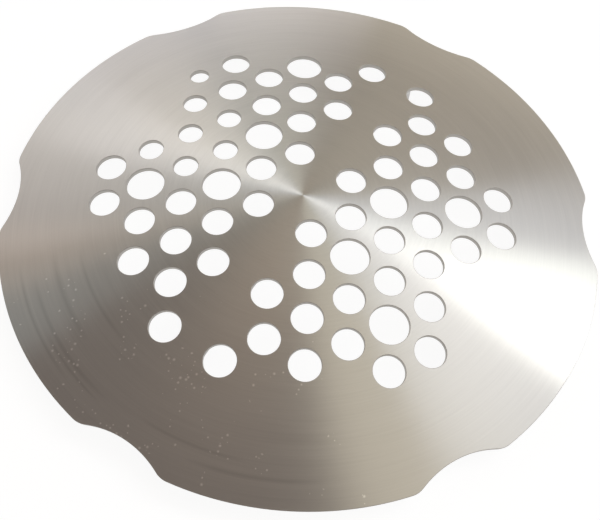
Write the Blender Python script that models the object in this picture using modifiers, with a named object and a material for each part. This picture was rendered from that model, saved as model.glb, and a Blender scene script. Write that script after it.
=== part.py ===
# Urinal strainer: a domed, perforated stainless plate on welded legs.
# Units are metres and +Z is up. The origin is on the plane that the leg tips stand on,
# under the centre of the plate. The cross strap runs along X and the side legs lie on Y.

import math

import bmesh
import bpy
from mathutils import Matrix, Vector

# Plate
PLATE_DIAMETER = 0.1395
PLATE_THICKNESS = 0.0010
DOME_RISE = 0.00915
SCALLOP_COUNT = 6
SCALLOP_DEPTH = 0.0031
SCALLOP_RADIUS = 0.0232
SCALLOP_CORNER_RADIUS = 0.0050

# Holes, on a hexagonal lattice in two halves that are drawn apart over the strap
HOLE_PITCH = 0.0101
HOLE_DIAMETER = 0.0070
LARGE_HOLE_DIAMETER = 0.0088
RIM_BORDER = 0.02525
STRAP_TO_HOLE = 0.0003

# Strap and legs
STRAP_WIDTH = 0.0064
STRAP_THICKNESS = 0.0012
BEND_RADIUS = 0.0015
LEG_CIRCLE_RADIUS = 0.0470
LEG_BELOW_RIM = 0.0035
SIDE_TAB_LENGTH = 0.0091

# Welds
WELD_DIAMETER = 0.0030
WELD_CROWN = 0.0005
STRAP_WELD_COUNT = 5
WELD_TO_BEND = 0.0073

# Clearances
SEAT_GAP = 0.0003
CUT_OVERRUN = 0.0050

# Facets
DOME_FACETS = 72
DOME_RINGS = 8
RIM_FACETS = 8
SCALLOP_FACETS = 10
CORNER_FACETS = 4
HOLE_FACETS = 20
STRAP_FACETS = 12
TAB_FACETS = 3
BEND_FACETS = 6
WELD_FACETS = 16
CROWN_FACETS = 3
SOLVE_ROUNDS = 12
MERGE_THRESHOLD = 0.00001

# Lattice places of the large holes, as (steps along the strap, steps across it)
LARGE_HOLE_STEPS = {(-1, 3), (1, 3), (-1, -3), (1, -3), (-2, 6), (-2, -6), (2, -6), (4, 4)}

# Colours and finish
STEEL_COLOUR = (0.60, 0.58, 0.55, 1.0)
STRAP_COLOUR = (0.56, 0.55, 0.53, 1.0)
WELD_COLOUR = (0.42, 0.41, 0.40, 1.0)
STEEL_ROUGHNESS = 0.32
WELD_ROUGHNESS = 0.5
SHARP_ANGLE = math.radians(30)

# Worked out from the sizes above
PLATE_RADIUS = PLATE_DIAMETER / 2
HOLE_FIELD_RADIUS = PLATE_RADIUS - RIM_BORDER
STEP_ALONG = HOLE_PITCH * math.sqrt(3) / 2
STEP_ACROSS = HOLE_PITCH / 2
HALF_SPREAD = STRAP_WIDTH / 2 + STRAP_TO_HOLE + HOLE_DIAMETER / 2 - STEP_ACROSS
RIM_TILT = math.atan(2 * DOME_RISE / PLATE_RADIUS)
APEX_HEIGHT = DOME_RISE + PLATE_THICKNESS * math.cos(RIM_TILT) + LEG_BELOW_RIM
STRAP_TOP_DEPTH = PLATE_THICKNESS + SEAT_GAP
STRAP_UNDER_DEPTH = STRAP_TOP_DEPTH + STRAP_THICKNESS
BEND_CENTRE_DEPTH = STRAP_UNDER_DEPTH + BEND_RADIUS
BEND_CENTRE_RADIUS = LEG_CIRCLE_RADIUS - STRAP_THICKNESS - BEND_RADIUS
SIDE_TAB_INNER_RADIUS = LEG_CIRCLE_RADIUS - SIDE_TAB_LENGTH
SIDE_WELD_RADIUS = (SIDE_TAB_INNER_RADIUS + BEND_CENTRE_RADIUS) / 2
OUTER_WELD_RADIUS = BEND_CENTRE_RADIUS - WELD_TO_BEND


# Dome geometry

def dome_height(radius):
    """Height of the plate's upper face at a distance from its axis."""
    return APEX_HEIGHT - DOME_RISE * (radius / PLATE_RADIUS) ** 2


def dome_tilt(radius):
    """Angle by which the sheet falls away from level at a distance from its axis."""
    return math.atan(2 * DOME_RISE * radius / PLATE_RADIUS ** 2)


def point_under_dome(radius, depth):
    """Section point that lies square under the upper face at a radius and a depth."""
    tilt = dome_tilt(radius)
    return radius - depth * math.sin(tilt), dome_height(radius) - depth * math.cos(tilt)


def radius_above(distance, depth):
    """Radius on the upper face whose point at a depth is the given distance from the axis."""
    radius = distance
    for _ in range(SOLVE_ROUNDS):
        radius = distance + depth * math.sin(dome_tilt(radius))
    return radius


def dome_place(x, y, depth):
    """Matrix at a depth under the upper face over (x, y), with Z square to the sheet."""
    radius = math.hypot(x, y)
    tilt = dome_tilt(radius)
    turn = math.atan2(y, x)
    place = Matrix.Translation((x, y, dome_height(radius)))
    lean = Matrix.Rotation(turn, 4, "Z") @ Matrix.Rotation(tilt, 4, "Y") @ Matrix.Rotation(-turn, 4, "Z")
    return place @ lean @ Matrix.Translation((0, 0, -depth))


def arc(centre, radius, start, end, facets):
    """Points along an arc, from its start up to but not including its end."""
    steps = [start + (end - start) * i / facets for i in range(facets)]
    return [(centre[0] + radius * math.cos(a), centre[1] + radius * math.sin(a)) for a in steps]


# Objects

def collection(name):
    made = bpy.data.collections.new(name)
    bpy.context.scene.collection.children.link(made)
    return made


def steel(name, colour, roughness):
    material = bpy.data.materials.new(name)
    material.use_nodes = True
    shader = material.node_tree.nodes["Principled BSDF"]
    shader.inputs["Base Color"].default_value = colour
    shader.inputs["Roughness"].default_value = roughness
    shader.inputs["Metallic"].default_value = 1
    return material


def add_object(name, mesh, group, material=None):
    made = bpy.data.objects.new(name, mesh)
    group.objects.link(made)
    if material:
        made.data.materials.append(material)
    return made


def add_cutter(name, mesh, group):
    cutter = add_object(name, mesh, group)
    cutter.hide_render = True
    cutter.display_type = "WIRE"
    return cutter


def add_boolean(target, cutter, operation):
    modifier = target.modifiers.new(cutter.name, "BOOLEAN")
    modifier.operation = operation
    modifier.solver = "EXACT"
    modifier.object = cutter


def evaluated_mesh(source):
    """A plain mesh of an object as its modifiers or its curve settings shape it."""
    shaped = source.evaluated_get(bpy.context.evaluated_depsgraph_get())
    return bpy.data.meshes.new_from_object(shaped)


def round_off(mesh):
    mesh.shade_smooth()
    mesh.set_sharp_from_angle(angle=SHARP_ANGLE)


def extruded_outline(name, points, depth, group):
    """Closed mesh of a flat outline in XY, extruded evenly to both sides of it."""
    curve = bpy.data.curves.new(name, "CURVE")
    curve.dimensions = "2D"
    curve.fill_mode = "BOTH"
    curve.extrude = depth / 2
    spline = curve.splines.new("POLY")
    spline.points.add(len(points) - 1)
    for corner, (x, y) in zip(spline.points, points):
        corner.co = (x, y, 0, 1)
    spline.use_cyclic_u = True
    drawn = add_object(name + "_outline", curve, group)
    mesh = evaluated_mesh(drawn)
    bpy.data.objects.remove(drawn)
    shape = bmesh.new()
    shape.from_mesh(mesh)
    bmesh.ops.remove_doubles(shape, verts=shape.verts, dist=MERGE_THRESHOLD)
    shape.to_mesh(mesh)
    shape.free()
    return mesh


def turned_mesh(name, profile, facets, thickness, group):
    """Mesh of a profile turned about Z. A thickness makes a shell under an open profile."""
    mesh = bpy.data.meshes.new(name + "_profile")
    shape = bmesh.new()
    verts = [shape.verts.new((x, 0, z)) for x, z in profile]
    for upper, lower in zip(verts, verts[1:]):
        shape.edges.new((upper, lower))
    shape.to_mesh(mesh)
    shape.free()
    turned = add_object(name + "_profile", mesh, group)
    screw = turned.modifiers.new("Turn", "SCREW")
    screw.axis = "Z"
    screw.steps = facets
    screw.render_steps = facets
    screw.use_merge_vertices = True
    screw.merge_threshold = MERGE_THRESHOLD
    if thickness:
        shell = turned.modifiers.new("Sheet", "SOLIDIFY")
        shell.thickness = thickness
        shell.offset = -1
        shell.use_even_offset = True
    result = evaluated_mesh(turned)
    bpy.data.objects.remove(turned)
    return result


def cylinders(name, places):
    """One mesh of round punches, each given as (matrix, radius, length, facets)."""
    shape = bmesh.new()
    for matrix, radius, length, facets in places:
        bmesh.ops.create_cone(
            shape, cap_ends=True, segments=facets, radius1=radius, radius2=radius,
            depth=length, matrix=matrix,
        )
    mesh = bpy.data.meshes.new(name)
    shape.to_mesh(mesh)
    shape.free()
    return mesh


# Plate

def rim_outline():
    """Outline of the plate: rim arcs between scallops, with a rounded corner at each end."""
    scallop_centre = PLATE_RADIUS - SCALLOP_DEPTH + SCALLOP_RADIUS
    corner_centre = PLATE_RADIUS - SCALLOP_CORNER_RADIUS
    between = SCALLOP_RADIUS + SCALLOP_CORNER_RADIUS
    corner_angle = math.acos(
        (corner_centre ** 2 + scallop_centre ** 2 - between ** 2) / (2 * corner_centre * scallop_centre)
    )
    corner_x = corner_centre * math.cos(corner_angle)
    corner_y = corner_centre * math.sin(corner_angle)
    lean = math.atan2(corner_y, scallop_centre - corner_x)
    turn = 2 * math.pi / SCALLOP_COUNT
    unit = (
        arc((corner_x, -corner_y), SCALLOP_CORNER_RADIUS, -corner_angle, lean, CORNER_FACETS)
        + arc((scallop_centre, 0), SCALLOP_RADIUS, math.pi + lean, math.pi - lean, SCALLOP_FACETS)
        + arc((corner_x, corner_y), SCALLOP_CORNER_RADIUS, -lean, corner_angle, CORNER_FACETS)
        + arc((0, 0), PLATE_RADIUS, corner_angle, turn - corner_angle, RIM_FACETS)
    )
    outline = []
    for index in range(SCALLOP_COUNT):
        spin = Matrix.Rotation(index * turn, 2)
        outline += [tuple(spin @ Vector(point)) for point in unit]
    return outline


def over_legs(x, y, radius):
    """Whether a hole would open over the strap or over a side leg's tab."""
    over_strap = abs(y) - radius < STRAP_WIDTH / 2
    beside_tab = abs(x) - radius > STRAP_WIDTH / 2
    short_of_tab = abs(y) + radius < SIDE_TAB_INNER_RADIUS
    return over_strap or not (beside_tab or short_of_tab)


def hole_places():
    """Centre and radius of each hole: the lattice in the field, less what would open over a leg."""
    along_reach = math.floor(HOLE_FIELD_RADIUS / STEP_ALONG)
    across_reach = math.floor(HOLE_FIELD_RADIUS / STEP_ACROSS)
    places = []
    for along in range(-along_reach, along_reach + 1):
        for across in range(-across_reach, across_reach + 1):
            x = along * STEP_ALONG
            y = across * STEP_ACROSS
            if (along + across) % 2 or math.hypot(x, y) > HOLE_FIELD_RADIUS:
                continue
            large = (along, across) in LARGE_HOLE_STEPS
            radius = (LARGE_HOLE_DIAMETER if large else HOLE_DIAMETER) / 2
            y += math.copysign(HALF_SPREAD, across) if across else 0
            if not over_legs(x, y, radius):
                places.append((x, y, radius))
    return places


def make_plate(parts, cutters):
    edge = PLATE_RADIUS + CUT_OVERRUN
    rings = [edge * i / DOME_RINGS for i in range(DOME_RINGS + 1)]
    profile = [(radius, dome_height(radius)) for radius in rings]
    dome = turned_mesh("strainer_plate", profile, DOME_FACETS, PLATE_THICKNESS, cutters)
    plate = add_object("strainer_plate", dome, parts, steel("plate_steel", STEEL_COLOUR, STEEL_ROUGHNESS))
    blank = add_cutter("rim_outline", extruded_outline("rim", rim_outline(), 4 * APEX_HEIGHT, cutters), cutters)
    punch_length = 2 * (PLATE_THICKNESS + CUT_OVERRUN)
    punches = [
        (dome_place(x, y, PLATE_THICKNESS / 2), radius, punch_length, HOLE_FACETS)
        for x, y, radius in hole_places()
    ]
    holes = add_cutter("hole_punches", cylinders("hole_punches", punches), cutters)
    add_boolean(plate, blank, "INTERSECT")
    add_boolean(plate, holes, "DIFFERENCE")
    round_off(plate.data)
    return plate


# Strap and legs

def leg_sides(inner_radius, facets):
    """Upper and lower line of a strip from an inner radius, round its bend, to the leg tip."""
    bend_start = radius_above(BEND_CENTRE_RADIUS, BEND_CENTRE_DEPTH)
    tilt = dome_tilt(bend_start)
    centre = point_under_dome(bend_start, BEND_CENTRE_DEPTH)
    lines = []
    for depth, bend in ((STRAP_TOP_DEPTH, BEND_RADIUS + STRAP_THICKNESS), (STRAP_UNDER_DEPTH, BEND_RADIUS)):
        radii = [inner_radius + (bend_start - inner_radius) * i / facets for i in range(facets)]
        line = [point_under_dome(radius, depth) for radius in radii]
        line += arc(centre, bend, math.pi / 2 - tilt, 0, BEND_FACETS)
        line += [(centre[0] + bend, centre[1]), (centre[0] + bend, 0)]
        lines.append(line)
    return lines


def standing_strip(name, outline, turn, punch_places, parts, cutters, material):
    """A strip with its outline in a vertical plane, turned about Z and punched for its welds."""
    mesh = extruded_outline(name, outline, STRAP_WIDTH, cutters)
    mesh.transform(Matrix.Rotation(turn, 4, "Z") @ Matrix.Rotation(math.pi / 2, 4, "X"))
    strip = add_object(name, mesh, parts, material)
    length = STRAP_THICKNESS + 2 * SEAT_GAP
    depth = STRAP_TOP_DEPTH + STRAP_THICKNESS / 2
    radius = WELD_DIAMETER / 2 + SEAT_GAP
    punches = [(dome_place(x, y, depth), radius, length, WELD_FACETS) for x, y in punch_places]
    cutter = add_cutter(name + "_weld_punches", cylinders(name + "_weld_punches", punches), cutters)
    add_boolean(strip, cutter, "DIFFERENCE")
    round_off(strip.data)
    return strip


def strap_weld_places():
    """Weld places spread evenly along the strap, the outer ones a set way in from its bends."""
    spacing = 2 * OUTER_WELD_RADIUS / (STRAP_WELD_COUNT - 1)
    return [(index * spacing - OUTER_WELD_RADIUS, 0) for index in range(STRAP_WELD_COUNT)]


def make_strap(parts, cutters, material):
    upper, lower = leg_sides(0, STRAP_FACETS)
    left_upper = [(-x, z) for x, z in reversed(upper[1:])]
    left_lower = [(-x, z) for x, z in lower[1:]]
    outline = left_upper + upper + list(reversed(lower)) + left_lower
    standing_strip("cross_strap", outline, 0, strap_weld_places(), parts, cutters, material)


def make_side_leg(name, turn, parts, cutters, material):
    upper, lower = leg_sides(radius_above(SIDE_TAB_INNER_RADIUS, STRAP_UNDER_DEPTH), TAB_FACETS)
    outline = upper + list(reversed(lower))
    weld_places = [(SIDE_WELD_RADIUS * math.cos(turn), SIDE_WELD_RADIUS * math.sin(turn))]
    standing_strip(name, outline, turn, weld_places, parts, cutters, material)


# Welds

def weld_mesh(cutters):
    """A weld plug: a round slug with a low crown on the face away from the plate."""
    radius = WELD_DIAMETER / 2
    crown_radius = (radius ** 2 + WELD_CROWN ** 2) / (2 * WELD_CROWN)
    spread = math.asin(radius / crown_radius)
    centre = (0, -STRAP_THICKNESS - WELD_CROWN + crown_radius)
    crown = arc(centre, crown_radius, spread - math.pi / 2, -math.pi / 2, CROWN_FACETS)
    profile = [(0, 0), (radius, 0)] + crown + [(0, -STRAP_THICKNESS - WELD_CROWN)]
    return turned_mesh("weld", profile, WELD_FACETS, 0, cutters)


def make_weld(name, mesh, x, y, parts):
    weld = add_object(name, mesh, parts)
    weld.matrix_world = dome_place(x, y, STRAP_TOP_DEPTH)


def make_welds(parts, cutters):
    """Every weld is an object of its own, and they all share one mesh."""
    mesh = weld_mesh(cutters)
    mesh.materials.append(steel("weld_steel", WELD_COLOUR, WELD_ROUGHNESS))
    round_off(mesh)
    for number, (x, y) in enumerate(strap_weld_places(), start=1):
        make_weld(f"strap_weld_{number}", mesh, x, y, parts)
    make_weld("side_leg_weld_left", mesh, 0, SIDE_WELD_RADIUS, parts)
    make_weld("side_leg_weld_right", mesh, 0, -SIDE_WELD_RADIUS, parts)


def main():
    for old in list(bpy.data.objects):
        bpy.data.objects.remove(old)
    parts = collection("urinal_strainer")
    cutters = collection("cutters")
    strap_steel = steel("strap_steel", STRAP_COLOUR, STEEL_ROUGHNESS)
    make_plate(parts, cutters)
    make_strap(parts, cutters, strap_steel)
    make_side_leg("side_leg_left", math.pi / 2, parts, cutters, strap_steel)
    make_side_leg("side_leg_right", -math.pi / 2, parts, cutters, strap_steel)
    make_welds(parts, cutters)


main()
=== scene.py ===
# Looks of a domed, perforated stainless urinal strainer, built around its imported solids.
# Units are metres, +Z is up, and the origin is on the plane that the leg tips stand on.

import math

import bmesh
import bpy
from mathutils import Matrix, Vector
from mathutils.geometry import delaunay_2d_cdt


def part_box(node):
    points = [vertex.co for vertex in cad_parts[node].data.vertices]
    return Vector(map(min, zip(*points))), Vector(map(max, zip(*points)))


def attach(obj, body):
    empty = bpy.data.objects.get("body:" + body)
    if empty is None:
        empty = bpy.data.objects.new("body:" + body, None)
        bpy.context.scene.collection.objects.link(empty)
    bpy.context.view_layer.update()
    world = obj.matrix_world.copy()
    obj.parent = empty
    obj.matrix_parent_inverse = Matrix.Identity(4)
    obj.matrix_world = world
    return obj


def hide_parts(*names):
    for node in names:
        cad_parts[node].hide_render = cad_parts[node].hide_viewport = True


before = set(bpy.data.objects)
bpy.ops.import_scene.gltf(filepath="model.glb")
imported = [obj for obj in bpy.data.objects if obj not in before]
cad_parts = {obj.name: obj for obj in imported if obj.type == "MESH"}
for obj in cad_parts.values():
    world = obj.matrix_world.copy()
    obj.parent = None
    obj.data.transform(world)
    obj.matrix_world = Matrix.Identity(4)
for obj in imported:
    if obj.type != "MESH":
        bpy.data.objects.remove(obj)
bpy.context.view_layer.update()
PLATE_LOW, PLATE_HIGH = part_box("strainer_plate")
STRAP_LOW, STRAP_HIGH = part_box("cross_strap")
SIDE_LEG_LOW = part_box("side_leg_left")[0]

# Sizes of the plate, from its solid where the solid gives them
PLATE_RADIUS = (PLATE_HIGH.y - PLATE_LOW.y) / 2
APEX_HEIGHT = PLATE_HIGH.z
PLATE_THICKNESS = 0.0010
DOME_RISE = 0.00915
SCALLOP_COUNT = 6
SCALLOP_DEPTH = 0.0031
SCALLOP_RADIUS = 0.0232
SCALLOP_CORNER_RADIUS = 0.0050
SCALLOP_CENTRE_RADIUS = PLATE_RADIUS - SCALLOP_DEPTH + SCALLOP_RADIUS
SCALLOP_TURN = 2 * math.pi / SCALLOP_COUNT

# Rounding of the sheared edges, at the upper face and at the lower
EDGE_ROLL = 0.0001
EDGE_BURR = 0.00008

# Holes, on the same lattice as the solid's, in steps along the strap and across it. The halves on
# either side of the strap are each moved away from it by the half spread.
HOLE_PITCH = 0.0101
HOLE_DIAMETER = 0.0070
LARGE_HOLE_DIAMETER = 0.0088
HOLE_FIELD_RADIUS = 0.0445
STEP_ALONG = HOLE_PITCH * math.sqrt(3) / 2
STEP_ACROSS = HOLE_PITCH / 2
STRAP_WIDTH = STRAP_HIGH.y - STRAP_LOW.y
STRAP_TO_HOLE = 0.0003
HALF_SPREAD = STRAP_WIDTH / 2 + STRAP_TO_HOLE + HOLE_DIAMETER / 2 - STEP_ACROSS
LARGE_HOLE_PLACES = {(-1, 3), (1, 3), (-1, -3), (1, -3), (-2, 6), (-2, -6), (2, -6), (4, 4)}
SIDE_LEG_PLACES = {(0, 8), (0, -8)}

# Holes in one patch that are smaller than the solid's, which are all of one size there
SMALLER_HOLE_DIAMETER = 0.0058
SMALLER_HOLE_PLACES = {(-1, 5), (-1, 7), (0, 4), (0, 6), (1, 5), (1, 7)}
SMALLEST_HOLE_DIAMETER = 0.0047
SMALLEST_HOLE_PLACES = {(2, 8)}

# Strap and legs
STRAP_THICKNESS = 0.0012
BEND_RADIUS = 0.0015
SEAT_GAP = 0.0003
LEG_CIRCLE_RADIUS = STRAP_HIGH.x
SIDE_TAB_INNER_RADIUS = SIDE_LEG_LOW.y
STRAP_EDGE_ROUND = 0.0002
STRAP_EDGE_ANGLE = math.radians(50)
STRAP_TOP_DEPTH = PLATE_THICKNESS + SEAT_GAP
STRAP_UNDER_DEPTH = STRAP_TOP_DEPTH + STRAP_THICKNESS
BEND_CENTRE_DEPTH = STRAP_UNDER_DEPTH + BEND_RADIUS
BEND_CENTRE_RADIUS = LEG_CIRCLE_RADIUS - STRAP_THICKNESS - BEND_RADIUS

# Welds, and the height and number of the ripples over their crowns
WELD_RADIUS = 0.0015
WELD_CROWN = 0.0005
WELD_RIPPLE = 0.00004
WELD_RIPPLES = 4

# Fineness of the meshes
HOLE_STEPS = 48
RIM_STEPS = 26
SCALLOP_STEPS = 20
CORNER_STEPS = 8
ROLL_STEPS = 4
BURR_STEPS = 2
SURFACE_SPACING = 0.0022
SURFACE_CLEARANCE = 0.0009
STRAP_STEPS = 40
TAB_STEPS = 8
BEND_STEPS = 12
STRAP_EDGE_STEPS = 3
WELD_STEPS = 32
CROWN_STEPS = 12
SOLVE_ROUNDS = 12
MERGE_DISTANCE = 0.000001
SHARP_ANGLE = math.radians(35)

# Material slots of the plate
UPPER_FACE = 0
LOWER_FACE = 1
CUT_EDGE = 2

# Kind of triangulation that fills the whole hull of its points, holes and scallops too
TRIANGLES_OVER_HULL = 0

# Outlines are counted from 1, and this is the number for a point on none of them
NO_OUTLINE = 0

# Middle of the circles that the brushing follows, a little off the plate's own middle
BRUSH_CENTRE = (-0.00125, -0.0001, 0)

# Camera, from the picture's perspective: its angles, distance, the point it looks at and its lens
CAMERA_AZIMUTH = math.radians(27.118)
CAMERA_ELEVATION = math.radians(58.611)
CAMERA_ROLL = math.radians(6.159)
CAMERA_DISTANCE = 0.18316
CAMERA_AIM = Vector((-0.016127, -0.008748, APEX_HEIGHT))
LENS = 50.947
SENSOR_WIDTH = 36
CLIP_START = 0.01


# Dome geometry

def dome_height(radius):
    """Height of the plate's upper face at a distance from its axis."""
    return APEX_HEIGHT - DOME_RISE * (radius / PLATE_RADIUS) ** 2


def dome_tilt(radius):
    """Angle by which the sheet falls away from level at a distance from its axis."""
    return math.atan(2 * DOME_RISE * radius / PLATE_RADIUS ** 2)


def dome_normal(x, y):
    slope = 2 * DOME_RISE / PLATE_RADIUS ** 2
    return Vector((slope * x, slope * y, 1)).normalized()


def sheet_point(x, y, depth):
    """Point of the formed sheet: a place on the flat blank, and a depth square to its upper face."""
    return Vector((x, y, dome_height(math.hypot(x, y)))) - depth * dome_normal(x, y)


def point_under_dome(radius, depth):
    """Section point that lies square under the upper face at a radius and a depth."""
    tilt = dome_tilt(radius)
    return radius - depth * math.sin(tilt), dome_height(radius) - depth * math.cos(tilt)


def radius_above(distance, depth):
    """Radius on the upper face whose point at a depth is the given distance from the axis."""
    radius = distance
    for _ in range(SOLVE_ROUNDS):
        radius = distance + depth * math.sin(dome_tilt(radius))
    return radius


def dome_place(x, y, depth):
    """Matrix on the dome over (x, y), at a depth and with Z square to the sheet."""
    lean = Vector((0, 0, 1)).rotation_difference(dome_normal(x, y)).to_matrix().to_4x4()
    return Matrix.Translation(sheet_point(x, y, depth)) @ lean


def arc(centre, radius, start, end, steps):
    """Points along an arc with their outward directions, up to but not including its end."""
    made = []
    for step in range(steps):
        angle = start + (end - start) * step / steps
        away = Vector((math.cos(angle), math.sin(angle)))
        made.append((Vector(centre) + radius * away, away))
    return made


# Plate

def rim_loop():
    """The plate's outline as points, each with its direction out of the metal."""
    corner_centre = PLATE_RADIUS - SCALLOP_CORNER_RADIUS
    between = SCALLOP_RADIUS + SCALLOP_CORNER_RADIUS
    corner_angle = math.acos(
        (corner_centre ** 2 + SCALLOP_CENTRE_RADIUS ** 2 - between ** 2)
        / (2 * corner_centre * SCALLOP_CENTRE_RADIUS)
    )
    corner_x = corner_centre * math.cos(corner_angle)
    corner_y = corner_centre * math.sin(corner_angle)
    lean = math.atan2(corner_y, SCALLOP_CENTRE_RADIUS - corner_x)
    dip = arc((SCALLOP_CENTRE_RADIUS, 0), SCALLOP_RADIUS, math.pi + lean, math.pi - lean, SCALLOP_STEPS)
    unit = arc((corner_x, -corner_y), SCALLOP_CORNER_RADIUS, -corner_angle, lean, CORNER_STEPS)
    unit += [(point, -away) for point, away in dip]
    unit += arc((corner_x, corner_y), SCALLOP_CORNER_RADIUS, -lean, corner_angle, CORNER_STEPS)
    unit += arc((0, 0), PLATE_RADIUS, corner_angle, SCALLOP_TURN - corner_angle, RIM_STEPS)
    loop = []
    for index in range(SCALLOP_COUNT):
        spin = Matrix.Rotation(index * SCALLOP_TURN, 2)
        loop += [(spin @ point, spin @ away) for point, away in unit]
    return loop


def hole_diameter(steps):
    """Diameter of the hole at a lattice place, given as its steps along the strap and across it."""
    if steps in LARGE_HOLE_PLACES:
        return LARGE_HOLE_DIAMETER
    if steps in SMALLER_HOLE_PLACES:
        return SMALLER_HOLE_DIAMETER
    return SMALLEST_HOLE_DIAMETER if steps in SMALLEST_HOLE_PLACES else HOLE_DIAMETER


def hole_places():
    """Centre and radius of each hole: the lattice in its field, less the places over strap and legs."""
    along_reach = math.floor(HOLE_FIELD_RADIUS / STEP_ALONG)
    across_reach = math.floor(HOLE_FIELD_RADIUS / STEP_ACROSS)
    places = []
    for along in range(-along_reach, along_reach + 1):
        for across in range(-across_reach, across_reach + 1):
            x = along * STEP_ALONG
            y = across * STEP_ACROSS
            off_lattice = (along + across) % 2 or math.hypot(x, y) > HOLE_FIELD_RADIUS
            if off_lattice or across == 0 or (along, across) in SIDE_LEG_PLACES:
                continue
            radius = hole_diameter((along, across)) / 2
            places.append((x, y + math.copysign(HALF_SPREAD, across), radius))
    return places


def hole_loop(x, y, radius):
    """A hole's edge, clockwise. The direction out of the metal points to the hole's middle."""
    return [(point, -away) for point, away in arc((x, y), radius, 2 * math.pi, 0, HOLE_STEPS)]


def edge_rows():
    """Rows round a sheared edge, from the upper face to the lower.

    Each is its inset, its depth, and its normal's shares square to the sheet and out of the metal.
    """
    rows = []
    for step in range(ROLL_STEPS + 1):
        angle = math.pi / 2 * step / ROLL_STEPS
        share = (math.cos(angle), math.sin(angle))
        rows.append((EDGE_ROLL * (1 - share[1]), EDGE_ROLL * (1 - share[0]), *share))
    for step in range(BURR_STEPS, -1, -1):
        angle = math.pi / 2 * step / BURR_STEPS
        share = (math.cos(angle), math.sin(angle))
        depth = PLATE_THICKNESS - EDGE_BURR * (1 - share[0])
        rows.append((EDGE_BURR * (1 - share[1]), depth, -share[0], share[1]))
    return rows


def surface_points(holes, rim_inset):
    """Points over the face on a triangular grid, clear of its holes and of its rim."""
    points = []
    row_height = SURFACE_SPACING * math.sqrt(3) / 2
    reach = math.ceil(PLATE_RADIUS / row_height)
    columns = math.ceil(PLATE_RADIUS / SURFACE_SPACING)
    turns = [index * SCALLOP_TURN for index in range(SCALLOP_COUNT)]
    dips = [(SCALLOP_CENTRE_RADIUS * math.cos(a), SCALLOP_CENTRE_RADIUS * math.sin(a)) for a in turns]
    for row in range(-reach, reach + 1):
        for column in range(-columns, columns + 1):
            x = (column + (row % 2) / 2) * SURFACE_SPACING
            y = row * row_height
            clear = math.hypot(x, y) < PLATE_RADIUS - rim_inset
            clear = clear and all(math.hypot(x - u, y - v) > SCALLOP_RADIUS + rim_inset for u, v in dips)
            clear = clear and all(math.hypot(x - u, y - v) > r + SURFACE_CLEARANCE for u, v, r in holes)
            if clear:
                points.append(Vector((x, y)))
    return points


class Skin:
    """A mesh while it is put together: points with their normals, and faces with their slots."""

    def __init__(self):
        self.verts = []
        self.normals = []
        self.faces = []
        self.slots = []

    def add_point(self, place, normal):
        self.verts.append(place)
        self.normals.append(normal)
        return len(self.verts) - 1

    def add_face(self, corners, slot):
        self.faces.append(corners)
        self.slots.append(slot)

    def mesh(self, name):
        made = bpy.data.meshes.new(name)
        made.from_pydata(self.verts, [], self.faces)
        made.polygons.foreach_set("material_index", self.slots)
        made.shade_smooth()
        made.normals_split_custom_set_from_vertices(self.normals)
        made.update()
        return made


def add_edge(skin, loop, rows):
    """Adds the sheared edge round a loop, and returns the number of each row's first point."""
    firsts = []
    for inset, depth, up, out in rows:
        firsts.append(len(skin.verts))
        for point, away in loop:
            x, y = point - inset * away
            normal = up * dome_normal(x, y) + out * Vector((away.x, away.y, 0))
            skin.add_point(sheet_point(x, y, depth), normal.normalized())
    count = len(loop)
    for above, below in zip(firsts, firsts[1:]):
        for step in range(count):
            after = (step + 1) % count
            skin.add_face((above + step, below + step, below + after, above + after), CUT_EDGE)
    return firsts


def add_side(skin, outlines, inner, depth, sense, slot):
    """Adds one side of the sheet, triangulated between its outlines and over its inner points.

    An outline is its flat points, and the number that the first of them has in the skin. A
    triangle whose corners all lie on one outline is in a hole or in a scallop, and is left out.
    """
    flat = []
    known = []
    outline_of = []
    edges = []
    for number, (points, first) in enumerate(outlines, start=NO_OUTLINE + 1):
        start, count = len(flat), len(points)
        flat += points
        known += range(first, first + count)
        outline_of += [number] * count
        edges += [(start + step, start + (step + 1) % count) for step in range(count)]
    for point in inner:
        place = sheet_point(point.x, point.y, depth)
        known.append(skin.add_point(place, sense * dome_normal(point.x, point.y)))
        outline_of.append(NO_OUTLINE)
    made = delaunay_2d_cdt(flat + inner, edges, [], TRIANGLES_OVER_HULL, MERGE_DISTANCE, True)
    triangles, sources = made[2], made[3]
    for triangle in triangles:
        corners = [sources[corner][0] for corner in triangle]
        around = {outline_of[corner] for corner in corners}
        if len(around) == 1 and around != {NO_OUTLINE}:
            continue
        corners = [known[corner] for corner in corners]
        skin.add_face(corners if sense > 0 else corners[::-1], slot)


def plate_mesh():
    """The sheet as one closed mesh: its edges, and both sides triangulated between them."""
    holes = hole_places()
    loops = [rim_loop()] + [hole_loop(*hole) for hole in holes]
    rows = edge_rows()
    skin = Skin()
    rings = [add_edge(skin, loop, rows) for loop in loops]
    inner = surface_points(holes, EDGE_ROLL + SURFACE_CLEARANCE)
    for row, depth, sense, slot in ((0, 0, 1, UPPER_FACE), (-1, PLATE_THICKNESS, -1, LOWER_FACE)):
        inset = rows[row][0]
        flat_loops = [[point - inset * away for point, away in loop] for loop in loops]
        outlines = [(points, firsts[row]) for points, firsts in zip(flat_loops, rings)]
        add_side(skin, outlines, inner, depth, sense, slot)
    return skin.mesh("plate_skin")


# Strap and legs

def closed_mesh(name, shape, place):
    """Mesh of a closed bmesh shape at its place, with its faces pointing out."""
    bmesh.ops.recalc_face_normals(shape, faces=shape.faces)
    shape.transform(place)
    mesh = bpy.data.meshes.new(name)
    shape.to_mesh(mesh)
    shape.free()
    return mesh


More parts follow.
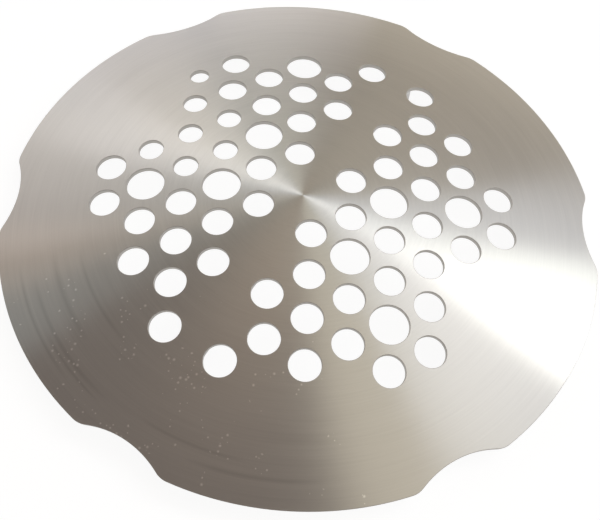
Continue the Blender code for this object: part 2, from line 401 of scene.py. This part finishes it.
def leg_sides(inner_radius, steps):
    """Upper and lower line of a strip from an inner radius, round its bend, to the leg tip."""
    bend_start = radius_above(BEND_CENTRE_RADIUS, BEND_CENTRE_DEPTH)
    tilt = dome_tilt(bend_start)
    centre = point_under_dome(bend_start, BEND_CENTRE_DEPTH)
    lines = []
    for depth, bend in ((STRAP_TOP_DEPTH, BEND_RADIUS + STRAP_THICKNESS), (STRAP_UNDER_DEPTH, BEND_RADIUS)):
        radii = [inner_radius + (bend_start - inner_radius) * i / steps for i in range(steps)]
        line = [point_under_dome(radius, depth) for radius in radii]
        line += [tuple(point) for point, _ in arc(centre, bend, math.pi / 2 - tilt, 0, BEND_STEPS)]
        line += [(centre[0] + bend, centre[1]), (centre[0] + bend, 0)]
        lines.append(line)
    return lines


def strip_mesh(name, upper, lower, turn):
    """A strip of sheet between two lines in a vertical plane, as wide as the strap, turned about Z."""
    shape = bmesh.new()
    columns = []
    for (ux, uz), (lx, lz) in zip(upper, lower):
        columns.append([
            shape.verts.new((ux, -STRAP_WIDTH / 2, uz)), shape.verts.new((ux, STRAP_WIDTH / 2, uz)),
            shape.verts.new((lx, STRAP_WIDTH / 2, lz)), shape.verts.new((lx, -STRAP_WIDTH / 2, lz)),
        ])
    for before, after in zip(columns, columns[1:]):
        for side in range(len(before)):
            following = (side + 1) % len(before)
            shape.faces.new((before[side], after[side], after[following], before[following]))
    shape.faces.new(columns[0])
    shape.faces.new(columns[-1][::-1])
    return closed_mesh(name, shape, Matrix.Rotation(turn, 4, "Z"))


def add_piece(name, mesh, materials, slot, *nodes):
    piece = bpy.data.objects.new(name, mesh)
    bpy.context.scene.collection.objects.link(piece)
    for material in materials:
        piece.data.materials.append(material)
    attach(piece, "root")
    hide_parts(*nodes)
    return piece


def round_edges(piece, width):
    bevel = piece.modifiers.new("Rounded edges", "BEVEL")
    bevel.width = width
    bevel.segments = STRAP_EDGE_STEPS
    bevel.limit_method = "ANGLE"
    bevel.angle_limit = STRAP_EDGE_ANGLE
    bevel.use_clamp_overlap = True
    bevel.harden_normals = True
    piece.data.shade_smooth()


def make_strap(material):
    upper, lower = leg_sides(0, STRAP_STEPS)
    upper = [(-x, z) for x, z in reversed(upper[1:])] + upper
    lower = [(-x, z) for x, z in reversed(lower[1:])] + lower
    mesh = strip_mesh("strap_band", upper, lower, 0)
    strap = add_piece("strap_band", mesh, [material], "strap_steel", "cross_strap")
    round_edges(strap, STRAP_EDGE_ROUND)


def make_side_leg(name, turn, node, material):
    upper, lower = leg_sides(radius_above(SIDE_TAB_INNER_RADIUS, STRAP_UNDER_DEPTH), TAB_STEPS)
    leg = add_piece(name, strip_mesh(name, upper, lower, turn), [material], "strap_steel", node)
    round_edges(leg, STRAP_EDGE_ROUND)


# Welds

def weld_profile():
    """Side and rippled crown of a weld, as radius and height counted up from the plug's flat top."""
    profile = [(WELD_RADIUS, 0), (WELD_RADIUS, -STRAP_THICKNESS)]
    for step in range(1, CROWN_STEPS):
        share = step / CROWN_STEPS
        radius = WELD_RADIUS * math.cos(share * math.pi / 2)
        height = WELD_CROWN * math.sin(share * math.pi / 2)
        ripple = WELD_RIPPLE * math.sin(2 * math.pi * WELD_RIPPLES * share)
        profile.append((radius, -STRAP_THICKNESS - height + ripple))
    return profile


def weld_mesh(name, place):
    """A weld as its profile turned about Z, closed by a flat top and a tip."""
    shape = bmesh.new()
    spun = [2 * math.pi * step / WELD_STEPS for step in range(WELD_STEPS)]
    rings = []
    for radius, height in weld_profile():
        rings.append([shape.verts.new((radius * math.cos(a), radius * math.sin(a), height)) for a in spun])
    tip = shape.verts.new((0, 0, -STRAP_THICKNESS - WELD_CROWN))
    for upper, lower in zip(rings, rings[1:]):
        for step in range(WELD_STEPS):
            after = (step + 1) % WELD_STEPS
            shape.faces.new((upper[step], lower[step], lower[after], upper[after]))
    for step in range(WELD_STEPS):
        shape.faces.new((rings[-1][step], tip, rings[-1][(step + 1) % WELD_STEPS]))
    shape.faces.new(rings[0])
    mesh = closed_mesh(name, shape, place)
    mesh.shade_smooth()
    mesh.set_sharp_from_angle(angle=SHARP_ANGLE)
    return mesh


def make_welds(material):
    for node in sorted(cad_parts):
        if "weld" not in node:
            continue
        low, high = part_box(node)
        middle = (low + high) / 2
        place = dome_place(middle.x, middle.y, STRAP_TOP_DEPTH)
        add_piece(node + "_bead", weld_mesh(node + "_bead", place), [material], "weld_steel", node)


# Materials

# Finishes: colour, roughness, how anisotropic the steel is where it is brushed, and depth of relief
TOP_FINISH = ((0.59, 0.575, 0.545), 0.294, 0.978, 0.000003)
UNDERSIDE_FINISH = ((0.55, 0.53, 0.50), 0.42, 0.6, 0.000004)
SHEARED_FINISH = ((0.50, 0.48, 0.45), 0.58, 0.00001)
STRIP_FINISH = ((0.55, 0.54, 0.52), 0.36, 0.000006)
WELD_FINISH = ((0.40, 0.37, 0.34), 0.5, 0.00002)

# Streaks of the brushing, fine and broad: their noise's scale in a metre across them, the radius in
# that noise of the circle that one turn makes, and its detail. Then the fine ones' share of both,
# the noise's roughness, and how far the streaks change tone and roughness either way.
FINE_STREAKS_PER_METRE = 2600
FINE_STREAKS_AROUND = 3
FINE_STREAK_DETAIL = 3
BROAD_STREAKS_PER_METRE = 420
BROAD_STREAKS_AROUND = 1.6
BROAD_STREAK_DETAIL = 2
FINE_STREAK_SHARE = 0.6
STREAK_NOISE_ROUGHNESS = 0.6
STREAK_TONE = 0.05
STREAK_ROUGHNESS = 0.02

# Radius that a point at the very middle of the brushing is given, so that it can be divided by
LEAST_RADIUS = 0.00003

# Long scratches along the brushing: radius, half width, and in degrees middle and half length
SCRATCHES = (
    (0.0615, 0.0006, 156, 17),
    (0.0628, 0.0004, 163, 9),
    (0.0643, 0.0005, 150, 14),
    (0.0508, 0.0006, 152, 15),
    (0.0566, 0.0009, 148, 12),
    (0.0632, 0.0006, 204, 13),
    (0.0604, 0.0005, 191, 11),
)
SCRATCH_TAPER_SHARE = 0.5
SCRATCH_TONE = 0.86

# Pale specks of grit in loose clusters to one side of the plate. Their size is a share of a cell.
# The share of cells that hold one grows from none to the most over a pair of levels of the noise,
# of angles off the side's direction, and of radii.
SPECK_CELLS_PER_METRE = 900
SPECK_SIZE_SHARES = (0.10, 0.38)
SPECK_MOST_SHARE = 0.5
SPECK_CLUSTERS_PER_METRE = 110
SPECK_CLUSTER_DETAIL = 1
SPECK_CLUSTER_LEVELS = (0.49, 0.60)
SPECK_SIDE = math.radians(182)
SPECK_SIDE_ANGLES = (math.radians(42), math.radians(14))
SPECK_RADII = (0.030, 0.046)
SPECK_COLOUR = (0.97, 0.95, 0.92)

# Grain of the unbrushed steel
GRAIN_PER_METRE = 1800
GRAIN_DETAIL = 3
GRAIN_DARK = 0.85
GRAIN_LIGHT = 1.1
GRAIN_ROUGHNESS = 0.06

# Levels between which noise is taken as none and full, and its roughness where none is named
NOISE_LEVELS = (0.3, 0.7)
NOISE_ROUGHNESS = 0.5


def nodes_of(material):
    material.use_nodes = True
    return material.node_tree.nodes, material.node_tree.links


def new_steel(name):
    material = bpy.data.materials.new(name)
    nodes, links = nodes_of(material)
    shader = nodes["Principled BSDF"]
    shader.inputs["Metallic"].default_value = 1
    return material, nodes, links, shader


def math_node(nodes, links, operation, *values):
    node = nodes.new("ShaderNodeMath")
    node.operation = operation
    for socket, value in zip(node.inputs, values):
        if isinstance(value, (int, float)):
            socket.default_value = value
        else:
            links.new(value, socket)
    return node.outputs[0]


def ramp(nodes, links, source, low, high, dark, light):
    """Maps a source between two levels to a value between dark and light."""
    node = nodes.new("ShaderNodeMapRange")
    node.inputs["From Min"].default_value = low
    node.inputs["From Max"].default_value = high
    node.inputs["To Min"].default_value = dark
    node.inputs["To Max"].default_value = light
    links.new(source, node.inputs["Value"])
    return node.outputs["Result"]


def blend_colours(nodes, links, factor, first, second):
    """Colour between two others, each given as numbers or as another node's output."""
    node = nodes.new("ShaderNodeMix")
    node.data_type = "RGBA"
    for name, colour in (("A", first), ("B", second)):
        if isinstance(colour, tuple):
            node.inputs[name].default_value = (*colour, 1)
        else:
            links.new(colour, node.inputs[name])
    links.new(factor, node.inputs["Factor"])
    return node.outputs["Result"]


def spread(middle, reach):
    return middle - reach, middle + reach


def shaded(colour, share):
    return tuple(min(1, part * share) for part in colour)


def surface_noise(nodes, links, vector, scale, detail, roughness=NOISE_ROUGHNESS):
    noise = nodes.new("ShaderNodeTexNoise")
    noise.inputs["Scale"].default_value = scale
    noise.inputs["Detail"].default_value = detail
    noise.inputs["Roughness"].default_value = roughness
    links.new(vector, noise.inputs["Vector"])
    return noise.outputs["Fac"]


def surface_place(nodes):
    return nodes.new("ShaderNodeTexCoord").outputs["Object"]


def add_relief(nodes, links, shader, height, depth):
    bump = nodes.new("ShaderNodeBump")
    bump.inputs["Distance"].default_value = depth
    links.new(height, bump.inputs["Height"])
    links.new(bump.outputs[0], shader.inputs["Normal"])


def from_brush_centre(nodes, links):
    """Where a point of the surface lies from the middle of the brushing: X, Y and the distance."""
    shift = nodes.new("ShaderNodeVectorMath")
    shift.operation = "SUBTRACT"
    shift.inputs[1].default_value = BRUSH_CENTRE
    links.new(surface_place(nodes), shift.inputs[0])
    split = nodes.new("ShaderNodeSeparateXYZ")
    links.new(shift.outputs[0], split.inputs[0])
    x, y = split.outputs["X"], split.outputs["Y"]
    x_square = math_node(nodes, links, "MULTIPLY", x, x)
    y_square = math_node(nodes, links, "MULTIPLY", y, y)
    radius = math_node(nodes, links, "SQRT", math_node(nodes, links, "ADD", x_square, y_square))
    return x, y, math_node(nodes, links, "MAXIMUM", radius, LEAST_RADIUS)


def ring_noise(nodes, links, place, per_metre, around, detail):
    """Noise drawn out along circles about the brushing's middle: fine across them, slow along them."""
    x, y, radius = place
    join = nodes.new("ShaderNodeCombineXYZ")
    links.new(math_node(nodes, links, "MULTIPLY", radius, per_metre), join.inputs["X"])
    for name, side in (("Y", x), ("Z", y)):
        share = math_node(nodes, links, "DIVIDE", side, radius)
        links.new(math_node(nodes, links, "MULTIPLY", share, around), join.inputs[name])
    return surface_noise(nodes, links, join.outputs[0], 1, detail, STREAK_NOISE_ROUGHNESS)


def closeness_to(nodes, links, place, azimuth):
    """Cosine of the angle, about the brushing's middle, between a point and an azimuth."""
    x, y, radius = place
    along = math_node(nodes, links, "MULTIPLY", x, math.cos(azimuth))
    across = math_node(nodes, links, "MULTIPLY", y, math.sin(azimuth))
    return math_node(nodes, links, "DIVIDE", math_node(nodes, links, "ADD", along, across), radius)


def scratch_mask(nodes, links, place):
    """1 along the scratches and 0 off them, with soft sides and ends."""
    marks = []
    for at, half_width, middle, half_length in SCRATCHES:
        off = math_node(nodes, links, "ABSOLUTE", math_node(nodes, links, "SUBTRACT", place[2], at))
        near = ramp(nodes, links, off, 0, half_width, 1, 0)
        end = math.cos(math.radians(half_length))
        taper = math.cos(math.radians(half_length * SCRATCH_TAPER_SHARE))
        closeness = closeness_to(nodes, links, place, math.radians(middle))
        ends = ramp(nodes, links, closeness, end, taper, 0, 1)
        marks.append(math_node(nodes, links, "MULTIPLY", near, ends))
    mask = marks[0]
    for mark in marks[1:]:
        mask = math_node(nodes, links, "MAXIMUM", mask, mark)
    return mask


def speck_mask(nodes, links, place):
    """1 on small round specks and 0 between them."""
    cells = nodes.new("ShaderNodeTexVoronoi")
    cells.voronoi_dimensions = "2D"
    cells.inputs["Scale"].default_value = SPECK_CELLS_PER_METRE
    links.new(surface_place(nodes), cells.inputs["Vector"])
    chance = nodes.new("ShaderNodeSeparateColor")
    links.new(cells.outputs["Color"], chance.inputs[0])
    size = ramp(nodes, links, chance.outputs["Green"], 0, 1, *SPECK_SIZE_SHARES)
    share = math_node(nodes, links, "DIVIDE", cells.outputs["Distance"], size)
    dot = ramp(nodes, links, share, 0, 1, 1, 0)
    place_on_plate = surface_place(nodes)
    cloud = surface_noise(nodes, links, place_on_plate, SPECK_CLUSTERS_PER_METRE, SPECK_CLUSTER_DETAIL)
    likely = ramp(nodes, links, cloud, *SPECK_CLUSTER_LEVELS, 0, SPECK_MOST_SHARE)
    closeness = closeness_to(nodes, links, place, SPECK_SIDE)
    side = ramp(nodes, links, closeness, *[math.cos(angle) for angle in SPECK_SIDE_ANGLES], 0, 1)
    likely = math_node(nodes, links, "MULTIPLY", likely, side)
    outward = ramp(nodes, links, place[2], *SPECK_RADII, 0, 1)
    likely = math_node(nodes, links, "MULTIPLY", likely, outward)
    kept = math_node(nodes, links, "LESS_THAN", chance.outputs["Red"], likely)
    return math_node(nodes, links, "MULTIPLY", dot, kept)


def brushed_steel(name, colour, roughness, anisotropy, streak_depth, worn):
    """Stainless steel brushed in circles, with streaks in its tone, roughness and relief.

    Its tangent lies across the brushing, so that reflections are drawn out that way. Where it is
    worn it has scratches and specks too.
    """
    material, nodes, links, shader = new_steel(name)
    shader.inputs["Anisotropic"].default_value = anisotropy
    place = from_brush_centre(nodes, links)
    across = nodes.new("ShaderNodeCombineXYZ")
    links.new(place[0], across.inputs["X"])
    links.new(place[1], across.inputs["Y"])
    links.new(across.outputs[0], shader.inputs["Tangent"])
    fine = ring_noise(
        nodes, links, place, FINE_STREAKS_PER_METRE, FINE_STREAKS_AROUND, FINE_STREAK_DETAIL
    )
    broad = ring_noise(
        nodes, links, place, BROAD_STREAKS_PER_METRE, BROAD_STREAKS_AROUND, BROAD_STREAK_DETAIL
    )
    fine = math_node(nodes, links, "MULTIPLY", fine, FINE_STREAK_SHARE)
    broad = math_node(nodes, links, "MULTIPLY", broad, 1 - FINE_STREAK_SHARE)
    streaks = math_node(nodes, links, "ADD", fine, broad)
    shine = ramp(nodes, links, streaks, *NOISE_LEVELS, *spread(roughness, STREAK_ROUGHNESS))
    links.new(shine, shader.inputs["Roughness"])
    light = ramp(nodes, links, streaks, *NOISE_LEVELS, 0, 1)
    dark, pale = [shaded(colour, share) for share in spread(1, STREAK_TONE)]
    tone = blend_colours(nodes, links, light, dark, pale)
    if worn:
        scratched = scratch_mask(nodes, links, place)
        tone = blend_colours(nodes, links, scratched, tone, shaded(colour, SCRATCH_TONE))
        tone = blend_colours(nodes, links, speck_mask(nodes, links, place), tone, SPECK_COLOUR)
    links.new(tone, shader.inputs["Base Color"])
    add_relief(nodes, links, shader, streaks, streak_depth)
    return material


def plain_steel(name, colour, roughness, grain_depth):
    """Unbrushed steel with a fine grain."""
    material, nodes, links, shader = new_steel(name)
    grain = surface_noise(nodes, links, surface_place(nodes), GRAIN_PER_METRE, GRAIN_DETAIL)
    tone = blend_colours(nodes, links, grain, shaded(colour, GRAIN_DARK), shaded(colour, GRAIN_LIGHT))
    links.new(tone, shader.inputs["Base Color"])
    shine = ramp(nodes, links, grain, *NOISE_LEVELS, *spread(roughness, GRAIN_ROUGHNESS))
    links.new(shine, shader.inputs["Roughness"])
    add_relief(nodes, links, shader, grain, grain_depth)
    return material


# Stage

FLOOR_SIZE = 60
FLOOR_COLOUR = (0.86, 0.86, 0.86, 1)
FLOOR_ROUGHNESS = 0.9
FLOOR_SPECULAR = 0.1

# Share of its own glow in what the camera and the metal see of the floor, and the glow's strength
FLOOR_GLOW = 0.8
FLOOR_WHITE = 1.12
ROOM_COLOUR = (0.220, 0.188, 0.175, 1)
LAMP_DISTANCE = 1.2

# Watts of each square metre of a lamp whose strength is 1
LAMP_WATTS = 4

# Each lamp's name, its azimuth, elevation, half width and half height in degrees, and its strength
# in red, green and blue
LAMPS = (
    ("key", 310, 30, 8, 10, (3.0, 3.0, 3.0)),
    ("high_right", 326, 42.6, 7.5, 12.7, (1.90, 2.00, 1.91)),
    ("broad_right", 317.6, 44.8, 26.7, 27.6, (0.49, 0.54, 0.63)),
    ("overhead", 314, 64.3, 42.8, 21, (0.54, 0.51, 0.42)),
    ("high_front", 350, 61, 7, 5, (0.62, 0.58, 0.58)),
    ("front", 9.5, 57.5, 7, 5, (0.04, 0.18, 0.46)),
    ("back", 54, 34, 23.2, 25.5, (0.25, 0.26, 0.25)),
    ("top_back", 38.6, 68.9, 5.9, 8.4, (0.54, 0.41, 0.29)),
    ("high_back", 31, 50, 7, 5, (0.19, 0.29, 0.28)),
    ("middle_back", 48, 43, 6, 5, (1.18, 1.06, 0.92)),
    ("side_back", 62, 35, 6, 6, (0.93, 0.92, 0.98)),
    ("low_back", 2.4, 4.1, 41, 7.1, (1.74, 1.58, 1.24)),
    ("low_left", 45, 5, 25, 6, (1.69, 1.70, 2.06)),
    ("left", 80, 30, 14, 14, (0.44, 0.41, 0.41)),
    ("far_left", 92, 40, 6, 6, (0.72, 0.58, 0.47)),
    ("high_left", 105, 42, 8, 8, (0.30, 0.37, 0.39)),
)


def direction(azimuth, elevation):
    """Unit vector at an azimuth, counted from +X, and an elevation."""
    flat = math.cos(elevation)
    return Vector((math.cos(azimuth) * flat, math.sin(azimuth) * flat, math.sin(elevation)))


def make_floor():
    """A pale floor that the camera and reflections see as near white, with the plate's shadow."""
    bpy.ops.mesh.primitive_plane_add(size=FLOOR_SIZE)
    floor = bpy.context.object
    floor.name = "floor"
    material = bpy.data.materials.new("floor")
    nodes, links = nodes_of(material)
    shader = nodes["Principled BSDF"]
    shader.inputs["Base Color"].default_value = FLOOR_COLOUR
    shader.inputs["Roughness"].default_value = FLOOR_ROUGHNESS
    shader.inputs["Specular IOR Level"].default_value = FLOOR_SPECULAR
    glow = nodes.new("ShaderNodeEmission")
    glow.inputs["Strength"].default_value = FLOOR_WHITE
    rays = nodes.new("ShaderNodeLightPath").outputs
    seen = math_node(nodes, links, "MAXIMUM", rays["Is Camera Ray"], rays["Is Glossy Ray"])
    seen = math_node(nodes, links, "MAXIMUM", seen, rays["Is Transmission Ray"])
    mix = nodes.new("ShaderNodeMixShader")
    links.new(math_node(nodes, links, "MULTIPLY", seen, FLOOR_GLOW), mix.inputs[0])
    links.new(shader.outputs[0], mix.inputs[1])
    links.new(glow.outputs[0], mix.inputs[2])
    links.new(mix.outputs[0], nodes["Material Output"].inputs["Surface"])
    floor.data.materials.append(material)


def make_world():
    world = bpy.data.worlds.new("studio")
    bpy.context.scene.world = world
    world.use_nodes = True
    world.node_tree.nodes["Background"].inputs["Color"].default_value = ROOM_COLOUR


def soft_lamp(name, azimuth, elevation, half_width, half_height, strength):
    """An oval lamp that faces the origin from its direction. Its angles are in degrees."""
    lamp = bpy.data.lights.new(name, "AREA")
    lamp.shape = "ELLIPSE"
    lamp.size = 2 * LAMP_DISTANCE * math.tan(math.radians(half_width))
    lamp.size_y = 2 * LAMP_DISTANCE * math.tan(math.radians(half_height))
    oval_area = math.pi * lamp.size / 2 * lamp.size_y / 2
    lamp.energy = max(strength) * LAMP_WATTS * oval_area
    lamp.color = [share / max(strength) for share in strength]
    made = bpy.data.objects.new(name, lamp)
    bpy.context.scene.collection.objects.link(made)
    away = direction(math.radians(azimuth), math.radians(elevation))
    made.location = LAMP_DISTANCE * away
    made.rotation_euler = away.to_track_quat("Z", "Y").to_euler()


def make_camera():
    """The camera looks along its azimuth and down by its elevation, rolled about its own axis."""
    data = bpy.data.cameras.new("camera")
    data.lens = LENS
    data.sensor_width = SENSOR_WIDTH
    data.clip_start = CLIP_START
    camera = bpy.data.objects.new("camera", data)
    bpy.context.scene.collection.objects.link(camera)
    look = direction(CAMERA_AZIMUTH, -CAMERA_ELEVATION)
    level = look.cross(Vector((0, 0, 1))).normalized()
    upright = level.cross(look)
    right = math.cos(CAMERA_ROLL) * level + math.sin(CAMERA_ROLL) * upright
    up = right.cross(look)
    turn = Matrix((right, up, -look)).transposed().to_4x4()
    camera.matrix_world = Matrix.Translation(CAMERA_AIM - CAMERA_DISTANCE * look) @ turn
    bpy.context.scene.camera = camera


def main():
    top = brushed_steel("brushed_plate", *TOP_FINISH, worn=True)
    underside = brushed_steel("plate_underside", *UNDERSIDE_FINISH, worn=False)
    cut_edge = plain_steel("sheared_edge", *SHEARED_FINISH)
    strip = plain_steel("strip_steel", *STRIP_FINISH)
    weld = plain_steel("weld_metal", *WELD_FINISH)
    add_piece("plate_skin", plate_mesh(), [top, underside, cut_edge], "plate_steel", "strainer_plate")
    make_strap(strip)
    make_side_leg("leg_left", math.pi / 2, "side_leg_left", strip)
    make_side_leg("leg_right", -math.pi / 2, "side_leg_right", strip)
    make_welds(weld)
    make_camera()
    make_floor()
    make_world()
    for lamp in LAMPS:
        soft_lamp(*lamp)
    bpy.context.scene.view_settings.view_transform = "Standard"


main()
